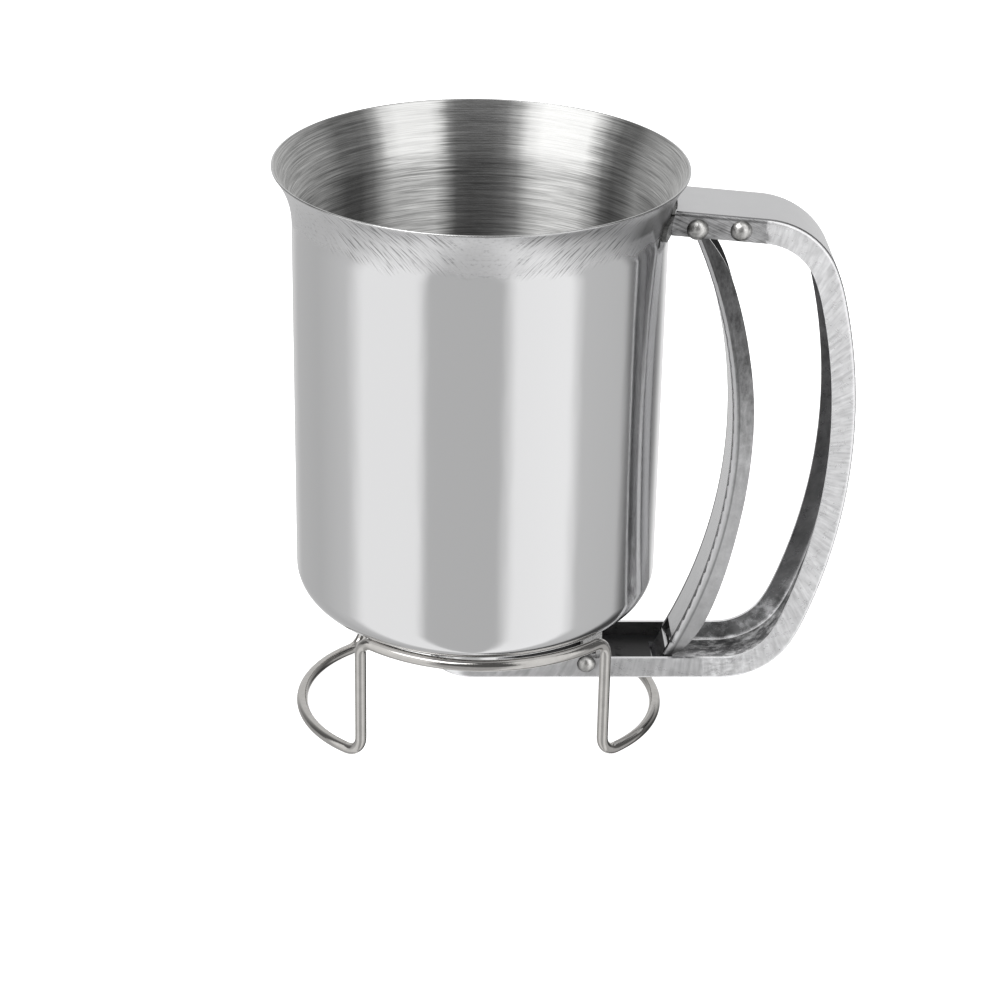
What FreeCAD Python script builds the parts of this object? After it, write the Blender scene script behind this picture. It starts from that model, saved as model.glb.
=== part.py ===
import FreeCAD, Part
import math
import os

# Hand-held portioning funnel: a cup with a funnel outlet, a channel handle, a trigger that moves
# a valve slide under the outlet, and a loose wire stand.
# Frame in mm: origin on the cup axis at counter level, +Z up, +X towards the handle.
# Profiles are drawn as (x, z) pairs in the middle plane y = 0.

Vector = FreeCAD.Vector
os.makedirs("parts", exist_ok=True)

# ---------------------------------------------------------------- fits
FIT = 0.01                 # gap between joined pieces
SEAT = 2 * FIT             # gap from the cup to a bracket, and from a bracket to the handle
RUN = 0.05                 # radial gap of running fits
TOL = 1e-3                 # tolerance of the edge selectors

# ---------------------------------------------------------------- cup
TOTAL_H = 155.0            # counter to rim
RIM_R = 52.5               # rim radius over the lip
CUP_R = 47.55              # outside radius of the straight wall
CUP_T = 0.6                # sheet
FLARE_R = 25.0             # trumpet radius of the flare, outside face
SHOULDER_R = 8.5           # outside radius where the wall turns into the funnel
SHOULDER_Z = 45.1          # height where the straight wall ends
FUNNEL = math.radians(28)  # funnel slope above the horizontal
BORE_R = 7.0               # outlet radius

# ---------------------------------------------------------------- collar and nozzle
COLLAR_R = 12.7
COLLAR_Z = 19.5            # underside of the collar
COLLAR_FILLET = 2.2
COLLAR_EXTRA_TURN = math.radians(14)   # the fillet runs this far past the funnel normal
NOZZLE_R = 8.2             # outside radius of the nozzle that reaches down to the valve
BOSS_R = 9.7               # thicker root of the nozzle, inside the tip of the handle
BOSS_Z = 17.4

# ---------------------------------------------------------------- handle
HANDLE_W = 21.6            # outside width of the channel
HANDLE_T = 1.0             # sheet
HANDLE_H = 6.25            # flange height over the web face
HANDLE_EDGE = 1.1          # bend radius along the web
ARM_START = (46.0, 146.308)            # top arm, outside face
ARM_END = (71.679, 144.064)
# outside radius and turn in degrees of each arc of the grip, from the top arm down
BOW = [(21.791, 61.849), (55.118, 8.608), (153.592, 35.169), (47.475, 8.497)]
BOW_LAST_R = 21.06         # arc that runs into the bottom arm
LIP_H = 0.25               # raised lip round the outlet hole
LIP_W = 0.9
HALF_W = HANDLE_W / 2
HALF_INSIDE = HALF_W - HANDLE_T
HALF_BRACKET = HALF_INSIDE - SEAT      # half width of the brackets inside the handle
BRACKET_T = 1.0            # sheet of the upper bracket
SADDLE_T = 0.9             # sheet of the lower bracket

# ---------------------------------------------------------------- rivets, as (x, z)
PIVOT = (53.9, 141.5)      # trigger pivot
POST = (64.8, 141.2)       # second rivet of the top arm
LOW_RIVET = (29.9, 17.8)   # rivet of the bottom arm
PIN_R = 1.5
LOW_PIN_R = 1.25
HEAD_R = 2.75
LOW_HEAD_R = 2.5
HEAD_H = 1.8

# ---------------------------------------------------------------- trigger
TRIG_W = 15.2              # outside width of the channel
TRIG_T = 0.8
# three points of the cup-side face of the web
TRIG_WEB = [(54.3, 137.28), (66.15, 82.5), (51.77, 20.61)]
# free edge of the flanges, handle side, from top to bottom
TRIG_EDGE = [
    (57.3, 137.9), (59.0, 135.6), (62.1, 130.6), (65.33, 122.26), (67.54, 114.38), (69.27, 106.38),
    (70.6, 98.29), (71.35, 90.13), (71.5, 81.95), (71.15, 73.77), (70.4, 65.62), (69.2, 57.51),
    (67.7, 49.45), (65.8, 41.46), (63.4, 33.63), (60.2, 26.23), (56.0, 20.6),
]
TRIG_FOOT = (53.2, 18.95)  # corner of the side plates between the web and the free edge
TRIG_FOOT_Z = 18.7         # where the web meets the lower edge
TRIG_FILLET = 0.9
EAR_R = 2.6                # round ears at the pivot
EAR_GAP_Z = 138.3          # only the two ears remain above this height
TONGUE_W = 10.0            # tongue that drops into the valve
TONGUE_Z = 14.95
SLOT_W = 11.2              # window in the web just above the tongue
SLOT_Z = (19.9, 23.2)

# ---------------------------------------------------------------- return spring
SPRING_R = 2.2             # mean coil radius
SPRING_WIRE_R = 0.45
SPRING_TURNS = 5.75
SPRING_PITCH = 1.02

# ---------------------------------------------------------------- valve slide
VALVE_T = 1.5
VALVE_W = 19.5
VALVE_X0 = -8.0
VALVE_X1 = 53.8
VALVE_GAP = 0.03
VALVE_FILLET = 1.5
VALVE_SLOT = (48.0, 51.1)  # slot that takes the tongue
VALVE_SLOT_W = 10.4

# ---------------------------------------------------------------- wire stand
WIRE_R = 1.5
RING_R = 43.5              # plan radius of the two cradle arcs
RING_GAP = 0.02
RING_HALF = math.radians(41.45)        # half angle of each cradle arc
BEND_TOP = 4.0
BEND_FOOT = 5.0
FOOT_REACH = 48.2          # reach of the foot arcs, wire centre
STAND_X = 1.5              # the loose stand sits this far off the cup axis


# ---------------------------------------------------------------- shape helpers
def export(shape, name):
    solid = shape.copy()
    if solid.ShapeType == "Compound" and len(solid.Solids) == 1:
        solid = solid.Solids[0]
    if not solid.isValid():
        raise RuntimeError("invalid shape " + name)
    solid.exportStep("parts/%s.step" % name)


def span(half):
    return (-half, half)


def box(x_range, y_range, z_range):
    low, high = zip(x_range, y_range, z_range)
    return Part.makeBox(*[b - a for a, b in zip(low, high)], Vector(*low))


def y_cylinder(centre, radius, y_range):
    base = Vector(centre[0], y_range[0], centre[1])
    return Part.makeCylinder(radius, y_range[1] - y_range[0], base, Vector(0, 1, 0))


def point(pair, y=0):
    return Vector(pair[0], y, pair[1])


def line(start, end):
    return Part.makeLine(point(start), point(end))


def chain(points):
    return [line(start, end) for start, end in zip(points, points[1:])]


def arc(start, middle, end):
    return Part.Arc(point(start), point(middle), point(end)).toShape()


def profile_face(edges):
    return Part.Face(Part.Wire(Part.sortEdges(edges)[0]))


def prism(edges, half):
    face = profile_face(edges)
    face.translate(Vector(0, -half, 0))
    return face.extrude(Vector(0, 2 * half, 0))


def polygon_prism(pairs, half):
    corners = [point(pair, -half) for pair in pairs]
    face = Part.Face(Part.makePolygon(corners + [corners[0]]))
    return face.extrude(Vector(0, 2 * half, 0))


def revolve(edges):
    return profile_face(edges).revolve(Vector(0, 0, 0), Vector(0, 0, 1), 360)


def one(shape):
    merged = shape.removeSplitter()
    return merged.Solids[0] if len(merged.Solids) == 1 else merged


def edge_middle(edge):
    return edge.valueAt((edge.FirstParameter + edge.LastParameter) / 2)


# ---------------------------------------------------------------- cup wall
FLARE_CENTRE = CUP_R + FLARE_R
FLARE_MID_R = FLARE_R + CUP_T / 2      # nominal radius that sets the flare angle and height
FLARE_TURN = math.acos((FLARE_CENTRE - (RIM_R - CUP_T / 2)) / FLARE_MID_R)
FLARE_Z = TOTAL_H - CUP_T / 2 - FLARE_MID_R * math.sin(FLARE_TURN)


# In the functions below, offset is measured outwards from the outside face of the cup.
def shoulder_point(angle, offset):
    radius = SHOULDER_R + offset
    return (CUP_R - SHOULDER_R + radius * math.sin(angle), SHOULDER_Z - radius * math.cos(angle))


def funnel_z(radius, offset):
    end = shoulder_point(FUNNEL, offset)
    return end[1] - (end[0] - radius) * math.tan(FUNNEL)


def flare_point(angle, offset):
    radius = FLARE_R - offset
    return (FLARE_CENTRE - radius * math.cos(angle), FLARE_Z + radius * math.sin(angle))


def cup_side(low_radius, offset):
    """Edges of the cup wall from the funnel end to the lip, with both end points."""
    low = (low_radius, funnel_z(low_radius, offset))
    shoulder = shoulder_point(FUNNEL, offset)
    shoulder_mid = shoulder_point((FUNNEL + math.pi / 2) / 2, offset)
    wall_low = (CUP_R + offset, SHOULDER_Z)
    wall_high = (CUP_R + offset, FLARE_Z)
    high = flare_point(FLARE_TURN, offset)
    edges = [line(low, shoulder), arc(shoulder, shoulder_mid, wall_low), line(wall_low, wall_high),
             arc(wall_high, flare_point(FLARE_TURN / 2, offset), high)]
    return edges, low, high


def cup_space(offset):
    """Everything inside the offset cup wall, carried up past the rim."""
    top = 170
    side, low, high = cup_side(1.0, offset)
    return revolve(side + chain([high, (high[0], top), (0, top), (0, low[1]), low]))


def make_cup():
    outer, outer_low, outer_high = cup_side(BORE_R, 0.0)
    inner, inner_low, inner_high = cup_side(BORE_R, -CUP_T)
    sine, cosine = math.sin(FLARE_TURN), math.cos(FLARE_TURN)
    lip_middle = (FLARE_CENTRE - FLARE_MID_R * cosine + CUP_T / 2 * sine,
                  FLARE_Z + FLARE_MID_R * sine + CUP_T / 2 * cosine)
    lip = arc(outer_high, lip_middle, inner_high)
    return revolve(outer + [lip] + inner + [line(inner_low, outer_low)])


# ---------------------------------------------------------------- side line of the handle
ARM_LENGTH = math.hypot(ARM_END[0] - ARM_START[0], ARM_END[1] - ARM_START[1])
ARM_DIR = ((ARM_END[0] - ARM_START[0]) / ARM_LENGTH, (ARM_END[1] - ARM_START[1]) / ARM_LENGTH)


def bow_point(centre, radius, heading):
    return (centre[0] - radius * math.sin(heading), centre[1] + radius * math.cos(heading))


def trace_bow():
    """Tangent arcs (centre, radius, start and end heading) of the grip, and their last point."""
    start = ARM_END
    heading = math.atan2(ARM_DIR[1], ARM_DIR[0])
    last_turn = math.degrees(heading + math.pi) - sum(turn for _, turn in BOW)
    arcs = []
    for radius, turn in BOW + [(BOW_LAST_R, last_turn)]:
        centre = (start[0] + radius * math.sin(heading), start[1] - radius * math.cos(heading))
        next_heading = heading - math.radians(turn)
        arcs.append((centre, radius, heading, next_heading))
        heading = next_heading
        start = bow_point(centre, radius, heading)
    return arcs, start


BOW_ARCS, BOW_END = trace_bow()
HANDLE_Z = BOW_END[1]                  # underside of the bottom arm
VALVE_Z = HANDLE_Z + HANDLE_T + VALVE_GAP
NOZZLE_Z = VALVE_Z + VALVE_T + VALVE_GAP


def below_arm(start, depth):
    """Point square to the top arm, depth to the inside of the grip."""
    return (start[0] + ARM_DIR[1] * depth, start[1] - ARM_DIR[0] * depth)


def handle_path(depth):
    """Side line from the cup wall round to the cup axis, depth to the inside of the grip."""
    start = last = below_arm(ARM_START, depth)
    edges = []
    for centre, radius, begin, finish in BOW_ARCS:
        first, middle, final = [bow_point(centre, radius - depth, heading)
                                for heading in (begin, (begin + finish) / 2, finish)]
        if not edges:
            edges.append(line(last, first))
        edges.append(arc(first, middle, final))
        last = final
    end = (0.0, last[1])
    return edges + [line(last, end)], start, end


def handle_band(outer_depth, inner_depth):
    outer, outer_start, outer_end = handle_path(outer_depth)
    inner, inner_start, inner_end = handle_path(inner_depth)
    return outer + [line(outer_end, inner_end)] + inner + [line(inner_start, outer_start)]


# ---------------------------------------------------------------- outlet collar with its nozzle
def make_collar():
    fillet_x = COLLAR_R + COLLAR_FILLET
    fillet_z = funnel_z(fillet_x, FIT) - COLLAR_FILLET / math.cos(FUNNEL)

    def fillet_point(angle):
        return (fillet_x + COLLAR_FILLET * math.cos(angle),
                fillet_z + COLLAR_FILLET * math.sin(angle))

    end_angle = math.pi / 2 + FUNNEL + COLLAR_EXTRA_TURN
    end = fillet_point(end_angle)
    # short step square to the funnel
    step = (funnel_z(end[0], FIT) - end[1]) * math.cos(FUNNEL)
    top = (end[0] - step * math.sin(FUNNEL), end[1] + step * math.cos(FUNNEL))
    side = chain([(BORE_R, NOZZLE_Z), (NOZZLE_R, NOZZLE_Z), (NOZZLE_R, BOSS_Z), (BOSS_R, BOSS_Z),
                  (BOSS_R, COLLAR_Z), (COLLAR_R, COLLAR_Z), (COLLAR_R, fillet_z)])
    fillet = arc((COLLAR_R, fillet_z), fillet_point((math.pi + end_angle) / 2), end)
    return revolve(side + [fillet] + chain(
        [end, top, (BORE_R, funnel_z(BORE_R, FIT)), (BORE_R, NOZZLE_Z)]))


# ---------------------------------------------------------------- handle channel
def make_handle():
    blank = prism(handle_band(0.0, HANDLE_H), HALF_W)
    blank = one(blank.fuse(Part.makeCylinder(HALF_W, HANDLE_H, Vector(0, 0, HANDLE_Z))))

    # outer corners of the web: the round tip at x < 0, then both long sides
    web_line = Part.Wire(handle_path(0.0)[0])
    corners = []
    for edge in blank.Edges:
        middle = edge_middle(edge)
        if middle.x < 0:
            on_rim = abs(math.hypot(middle.x, middle.y) - HALF_W) < TOL
            if abs(middle.z - HANDLE_Z) < TOL and on_rim:
                corners.append(edge)
        elif abs(abs(middle.y) - HALF_W) < 1e-4:
            in_plane = Part.Vertex(Vector(middle.x, 0, middle.z))
            if web_line.distToShape(in_plane)[0] < TOL:
                corners.append(edge)
    blank = blank.makeFillet(HANDLE_EDGE, corners)

    pocket_depth = HANDLE_H + 3.0
    pocket = prism(handle_band(HANDLE_T, pocket_depth), HALF_INSIDE)
    pocket = pocket.fuse(
        Part.makeCylinder(HALF_INSIDE, pocket_depth, Vector(0, 0, HANDLE_Z + HANDLE_T)))
    handle = blank.cut(pocket)
    handle = handle.fuse(
        Part.makeCylinder(BORE_R + LIP_W, LIP_H + 0.5, Vector(0, 0, HANDLE_Z - LIP_H)))
    handle = handle.cut(Part.makeCylinder(BORE_R, 6, Vector(0, 0, HANDLE_Z - 3)))
    # the top arm ends against the upper bracket on the cup wall
    arm_zone = box((30, 60), span(30), (120, 160))
    handle = handle.cut(cup_space(SEAT + BRACKET_T + FIT).common(arm_zone))
    for centre, radius in ((PIVOT, PIN_R), (POST, PIN_R), (LOW_RIVET, LOW_PIN_R)):
        handle = handle.cut(y_cylinder(centre, radius + FIT, span(HALF_W + 1)))
    return one(handle)


# ------------------------------------------- upper bracket: wings on the cup, cheeks in the handle
WING_X = (20, 60)
WING_HALF_W = 17.4
WING_Z = (140.1, 144.85)
WING_FILLET = 1.5
CHEEK_END_X = 69.3
CHEEK_WEB_GAP = 0.03
CHEEK_INSET = 0.1          # below the free edge of the handle flange


def make_upper_bracket():
    wing = box(WING_X, span(WING_HALF_W), WING_Z)
    wing_length = WING_X[1] - WING_X[0]
    wing = wing.makeFillet(
        WING_FILLET, [edge for edge in wing.Edges if abs(edge.Length - wing_length) < 1e-6])
    strip = cup_space(SEAT + BRACKET_T).cut(cup_space(SEAT)).common(wing)

    end_z = ARM_START[1] + (CHEEK_END_X - ARM_START[0]) * ARM_DIR[1] / ARM_DIR[0]
    arm_end = (CHEEK_END_X, end_z)
    upper = HANDLE_T + CHEEK_WEB_GAP
    lower = HANDLE_H - CHEEK_INSET
    cheeks = prism(chain([
        below_arm(ARM_START, upper), below_arm(arm_end, upper),
        below_arm(arm_end, lower), below_arm(ARM_START, lower),
        below_arm(ARM_START, upper)]), HALF_BRACKET)
    cheeks = cheeks.cut(box((30, 90), span(HALF_BRACKET - BRACKET_T), (120, 160)))
    cheeks = cheeks.cut(cup_space(SEAT))
    bracket = one(strip.fuse(cheeks))
    for centre in (PIVOT, POST):
        bracket = bracket.cut(y_cylinder(centre, PIN_R + FIT, span(20)))
    return one(bracket)


# ------------------------------------------- lower bracket: saddle on the funnel, ears in the handle
SADDLE_X = (24.0, 36.0)
LOW_EAR_Z = NOZZLE_Z + 0.05
LOW_EAR = [(27.0, LOW_EAR_Z), (33.9, LOW_EAR_Z), (33.9, 36.0),
           (28.9, 36.0), (28.9, 19.9), (27.0, 19.2)]
LOW_WINDOW_X = (30.9, 32.4)            # square-cornered hole through both ears
LOW_WINDOW_Z = (19.9, 21.9)


def make_lower_bracket():
    saddle = cup_space(SEAT + SADDLE_T).cut(cup_space(SEAT))
    saddle = saddle.common(box(SADDLE_X, span(HALF_BRACKET), (20, 45)))
    ears = polygon_prism(LOW_EAR, HALF_BRACKET)
    ears = ears.cut(box((20, 40), span(HALF_BRACKET - SADDLE_T), (10, 40))).cut(cup_space(SEAT))
    bracket = saddle.fuse(ears)
    bracket = bracket.cut(box(LOW_WINDOW_X, span(20), LOW_WINDOW_Z))
    return one(bracket.cut(y_cylinder(LOW_RIVET, LOW_PIN_R + FIT, span(20))))


# ------------------------------------------- front tab: foot under the collar, lip at the handle tip
TAB_X = -HALF_W - 0.15     # face towards the outlet
TAB_TOP = COLLAR_Z - FIT
TAB_LENGTH = 4.85
TAB_HALF_W = 3.8
TAB_T = 0.8
TAB_LIP_Z = 15.3
TAB_FILLET = 0.7
DIMPLE_R = 1.1             # two dimples in the underside
DIMPLE_Y = 1.45
DIMPLE_X = TAB_X - 2.65
DIMPLE_DROP = 0.75         # sphere centre below the underside


def make_front_tab():
    foot = box((TAB_X - TAB_LENGTH, TAB_X), span(TAB_HALF_W), (TAB_TOP - TAB_T, TAB_TOP))
    tab = one(foot.fuse(box((TAB_X - TAB_T, TAB_X), span(TAB_HALF_W), (TAB_LIP_Z, TAB_TOP))))
    corner = [edge for edge in tab.Edges
              if all(abs(edge.Vertexes[i].Point.x - TAB_X) < TOL
                     and abs(edge.Vertexes[i].Point.z - TAB_TOP) < TOL for i in (0, 1))]
    tab = tab.makeFillet(TAB_FILLET, corner)
    for y in span(DIMPLE_Y):
        centre = Vector(DIMPLE_X, y, TAB_TOP - TAB_T - DIMPLE_DROP)
        tab = tab.cut(Part.makeSphere(DIMPLE_R, centre))
    return tab


# ---------------------------------------------------------------- trigger
WEB_CIRCLE = arc(*TRIG_WEB).Curve
HALF_TRIG = TRIG_W / 2


def web_point(z, depth=0.0):
    """Point of the web arc at height z, depth towards the handle."""
    centre = WEB_CIRCLE.Center
    return (centre.x + math.sqrt((WEB_CIRCLE.Radius + depth) ** 2 - (z - centre.z) ** 2), z)


def web_arc(heights, depth=0.0):
    return arc(*[web_point(z, depth) for z in heights])


def make_trigger():
    ear_edge = (PIVOT[0] + EAR_R * 0.96, PIVOT[1])
    free_edge = Part.BSplineCurve()
    free_edge.interpolate(Points=[point(pair) for pair in TRIG_EDGE])
    side = [web_arc((PIVOT[1], 80, TRIG_FOOT_Z))]
    side += chain([web_point(TRIG_FOOT_Z), TRIG_FOOT, TRIG_EDGE[-1]])
    side += [free_edge.toShape()]
    side += chain([TRIG_EDGE[0], ear_edge, web_point(PIVOT[1])])
    trigger = prism(side, HALF_TRIG)

    web_corners = []
    for edge in trigger.Edges:
        middle = edge_middle(edge)
        if (abs(abs(middle.y) - HALF_TRIG) < 1e-4
                and abs(middle.x - web_point(middle.z)[0]) < TOL and edge.Length > 50):
            web_corners.append(edge)
    trigger = trigger.makeFillet(TRIG_FILLET, web_corners)
    trigger = trigger.fuse(y_cylinder(PIVOT, EAR_R, span(HALF_TRIG)))

    # hollow on the handle side of the web
    hollow = [web_arc((150, 80, 10), TRIG_T)]
    hollow += chain([web_point(10, TRIG_T), (90, 10), (90, 150), web_point(150, TRIG_T)])
    half_hollow = HALF_TRIG - TRIG_T
    trigger = trigger.cut(prism(hollow, half_hollow))
    trigger = trigger.cut(box((40, 60), span(half_hollow), (EAR_GAP_Z, 150)))

    root_z = 21
    middle_z = 18
    tongue = prism([
        web_arc((root_z, middle_z, TONGUE_Z)),
        line(web_point(TONGUE_Z), web_point(TONGUE_Z, TRIG_T)),
        web_arc((TONGUE_Z, middle_z, root_z), TRIG_T),
        line(web_point(root_z, TRIG_T), web_point(root_z))], TONGUE_W / 2)
    trigger = trigger.fuse(tongue)
    trigger = trigger.cut(box((45, 60), span(SLOT_W / 2), SLOT_Z))
    return one(trigger.cut(y_cylinder(PIVOT, PIN_R + RUN, span(20))))


# ---------------------------------------------------------------- rivets and washers
def make_rivet(centre, pin_radius, head_radius):
    """Pin across the handle with a domed head on each side."""
    x, z = centre
    reach = 6              # half size of the box that keeps the dome
    ball = (head_radius ** 2 + HEAD_H ** 2) / (2 * HEAD_H)
    rivet = y_cylinder(centre, pin_radius, span(HALF_W + 0.5))
    for sign in (-1, 1):
        seat_y = sign * (HALF_W + FIT)
        dome = Part.makeSphere(ball, Vector(x, seat_y - sign * (ball - HEAD_H), z))
        outside = box((x - reach, x + reach), sorted((seat_y, seat_y + sign * reach)),
                      (z - reach, z + reach))
        rivet = rivet.fuse(dome.common(outside))
    return one(rivet)


WASHER_R = 2.55
WASHER_BORE_GAP = 0.04
WASHER_SIDE_GAP = 0.03


def make_washers():
    """Spacers between the bracket cheeks and the trigger ears."""
    near = HALF_TRIG + WASHER_SIDE_GAP
    far = HALF_BRACKET - BRACKET_T - WASHER_SIDE_GAP
    washers = []
    for low, high in ((-far, -near), (near, far)):
        bore = y_cylinder(PIVOT, PIN_R + WASHER_BORE_GAP, (low - 1, high + 1))
        washers.append(y_cylinder(PIVOT, WASHER_R, (low, high)).cut(bore))
    return Part.makeCompound(washers)


# ---------------------------------------------------------------- valve slide
RELIEF_X = 50.6            # start of the eased underside
PIP_X = 39.5               # two small raised rounds on the upper face
PIP_Y = 1.6
PIP_R = 3.0
PIP_DROP = 2.78            # sphere centre below the upper face


def make_valve():
    half = VALVE_W / 2
    nose_x = VALVE_X0 + half
    top = VALVE_Z + VALVE_T
    valve = Part.makeCylinder(half, VALVE_T, Vector(nose_x, 0, VALVE_Z))
    valve = one(valve.fuse(box((nose_x, VALVE_X1), span(half), (VALVE_Z, top))))
    corners = []
    for edge in valve.Edges:
        first = edge.Vertexes[0].Point
        last = edge.Vertexes[-1].Point
        if (abs(first.x - VALVE_X1) < TOL and abs(last.x - VALVE_X1) < TOL
                and abs(first.z - last.z) > 1.0):
            corners.append(edge)
    valve = valve.makeFillet(VALVE_FILLET, corners)
    valve = valve.cut(box(VALVE_SLOT, span(VALVE_SLOT_W / 2), (VALVE_Z - 1, top + 1)))
    # underside eased so the slide clears the bend of the handle at full travel
    relief = [(RELIEF_X, VALVE_Z - 0.5), (60.0, VALVE_Z - 0.5), (60.0, VALVE_Z + 1.7),
              (VALVE_X1, VALVE_Z + 0.6), (RELIEF_X, VALVE_Z)]
    valve = valve.cut(polygon_prism(relief, half + 1))
    for y in span(PIP_Y):
        pip = Part.makeSphere(PIP_R, Vector(PIP_X, y, top - PIP_DROP))
        valve = valve.fuse(pip.common(box((30, 50), span(9), (VALVE_Z + 0.7, VALVE_Z + 5))))
    return one(valve)


# ---------------------------------------------------------------- wire stand
SIN_RING = math.sin(RING_HALF)
COS_RING = math.cos(RING_HALF)
LEG_X = RING_R * SIN_RING + BEND_TOP * COS_RING
LEG_Y = RING_R * COS_RING - BEND_TOP * SIN_RING


def solve_foot():
    """Half angle, plan radius and centre x of a foot arc that starts square to the leg bend."""
    def foot_circle(angle):
        radius = (LEG_Y - BEND_FOOT * math.cos(angle)) / math.sin(angle)
        return radius, LEG_X - radius * math.cos(angle) + BEND_FOOT * math.sin(angle)

    def overshoot(angle):
        return sum(foot_circle(angle)) - FOOT_REACH

    low, high = math.radians(20), math.radians(89)
    for _ in range(80):
        middle = (low + high) / 2
        if overshoot(low) * overshoot(middle) <= 0:
            high = middle
        else:
            low = middle
    return (middle,) + foot_circle(middle)


def sweep_wire(start, normal, axis_point, axis, degrees):
    disc = Part.Face(Part.Wire(Part.makeCircle(WIRE_R, start, normal)))
    return disc.revolve(axis_point, axis, degrees)


def make_stand():
    # the shifted cradle touches the funnel at the arc ends nearest the cup axis
    nearest = math.hypot(RING_R * SIN_RING - STAND_X, RING_R * COS_RING)
    ring_z = funnel_z(nearest, 0.0) - (WIRE_R + RING_GAP) / math.cos(FUNNEL)
    leg_low = WIRE_R + BEND_FOOT
    leg_high = ring_z - BEND_TOP
    foot_half, foot_r, foot_x = solve_foot()
    sine, cosine = math.sin(foot_half), math.cos(foot_half)
    up, down = Vector(0, 0, 1), Vector(0, 0, -1)
    pieces = []
    for side_x in (-1, 1):
        for side_y in (-1, 1):
            base = Vector(side_x * LEG_X, side_y * LEG_Y, leg_low)
            pieces.append(Part.makeCylinder(WIRE_R, leg_high - leg_low, base))
            # bend from the leg into the cradle arc
            head = Vector(base.x, base.y, leg_high)
            inward = Vector(-side_x * COS_RING, side_y * SIN_RING, 0)
            pieces.append(sweep_wire(head, up, head + inward * BEND_TOP, up.cross(inward), 90))
        for side_y in (-1, 1):
            # bend from the leg into the foot arc
            base = Vector(side_x * LEG_X, side_y * LEG_Y, leg_low)
            away = Vector(side_x * sine, -side_y * cosine, 0)
            pieces.append(sweep_wire(base, down, base + away * BEND_FOOT, down.cross(away), 90))
        start = Vector(side_x * (foot_x + foot_r * cosine), -foot_r * sine, WIRE_R)
        pieces.append(sweep_wire(start, Vector(side_x * sine, cosine, 0),
                                 Vector(side_x * foot_x, 0, 0), Vector(0, 0, side_x),
                                 math.degrees(2 * foot_half)))
    for side_y in (-1, 1):
        start = Vector(-RING_R * SIN_RING, side_y * RING_R * COS_RING, ring_z)
        pieces.append(sweep_wire(start, Vector(COS_RING, side_y * SIN_RING, 0),
                                 Vector(0, 0, 0), Vector(0, 0, -side_y),
                                 math.degrees(2 * RING_HALF)))
    stand = one(pieces[0].multiFuse(pieces[1:]))
    stand.translate(Vector(STAND_X, 0, 0))
    return stand


# ------------------------------------------- return spring: coil on the pivot with two legs
def make_spring():
    half = SPRING_TURNS * SPRING_PITCH / 2
    post_leg = Vector(66.4, -half, POST[1] - PIN_R - SPRING_WIRE_R - 0.04)   # under the post
    web_leg = Vector(58.5, half, 133.8)                                      # at the trigger web
    coil_start = Vector(PIVOT[0], -half, PIVOT[1] - SPRING_R)
    points = [post_leg + (coil_start - post_leg) * t for t in (0, 0.2, 0.4, 0.6, 0.75, 0.87)]
    steps = int(24 * SPRING_TURNS)
    for i in range(steps + 1):
        angle = -math.pi / 2 - 2 * math.pi * SPRING_TURNS * i / steps
        points.append(Vector(PIVOT[0] + SPRING_R * math.cos(angle), -half + 2 * half * i / steps,
                             PIVOT[1] + SPRING_R * math.sin(angle)))
    coil_end = points[-1]
    points += [coil_end + (web_leg - coil_end) * t for t in (0.15, 0.3, 0.5, 0.75, 1.0)]
    spine = Part.BSplineCurve()
    spine.interpolate(Points=points)
    tangent = spine.tangent(spine.FirstParameter)[0]
    section = Part.Wire(Part.makeCircle(SPRING_WIRE_R, points[0], tangent))
    return Part.Wire(spine.toShape()).makePipeShell([section], True, False)


export(make_cup(), "cup_body")
export(make_collar(), "outlet_collar")
export(make_handle(), "handle_channel")
export(make_upper_bracket(), "upper_bracket")
export(make_lower_bracket(), "lower_bracket")
export(make_front_tab(), "front_tab")
export(make_trigger(), "trigger_lever")
export(make_rivet(PIVOT, PIN_R, HEAD_R), "pivot_rivet")
export(make_rivet(POST, PIN_R, HEAD_R), "post_rivet")
export(make_rivet(LOW_RIVET, LOW_PIN_R, LOW_HEAD_R), "lower_rivet")
export(make_washers(), "pivot_washers")
export(make_valve(), "valve_slide")
export(make_spring(), "return_spring")
export(make_stand(), "wire_stand")
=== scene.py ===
"""Hand-held funnel dispenser of bright sheet steel, standing over a pale floor at z = 0.

The cup turns about the Z axis. The handle, trigger and brackets lie on its +X side, in the
XZ plane. The camera looks from -Y and above. Sizes are in mm; the scene is in metres.
Compass angles are 0 towards -Y and positive towards +X.
"""
import math
from itertools import zip_longest

import bmesh
import bpy
import numpy as np
from mathutils import Matrix, Vector

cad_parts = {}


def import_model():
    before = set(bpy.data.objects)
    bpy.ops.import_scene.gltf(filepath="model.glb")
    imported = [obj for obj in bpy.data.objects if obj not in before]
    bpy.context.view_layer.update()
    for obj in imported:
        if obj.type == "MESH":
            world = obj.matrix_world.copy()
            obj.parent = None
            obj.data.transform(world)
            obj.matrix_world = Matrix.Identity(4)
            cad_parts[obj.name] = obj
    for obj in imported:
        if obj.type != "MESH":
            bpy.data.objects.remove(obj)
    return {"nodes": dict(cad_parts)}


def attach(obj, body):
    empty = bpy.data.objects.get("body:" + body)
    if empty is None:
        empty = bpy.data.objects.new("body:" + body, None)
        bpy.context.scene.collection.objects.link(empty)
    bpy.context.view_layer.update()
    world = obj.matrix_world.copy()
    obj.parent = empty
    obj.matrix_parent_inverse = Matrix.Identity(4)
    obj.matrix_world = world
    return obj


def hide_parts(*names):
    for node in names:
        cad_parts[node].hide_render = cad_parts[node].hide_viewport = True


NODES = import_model()["nodes"]
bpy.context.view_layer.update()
MM = 0.001

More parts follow.
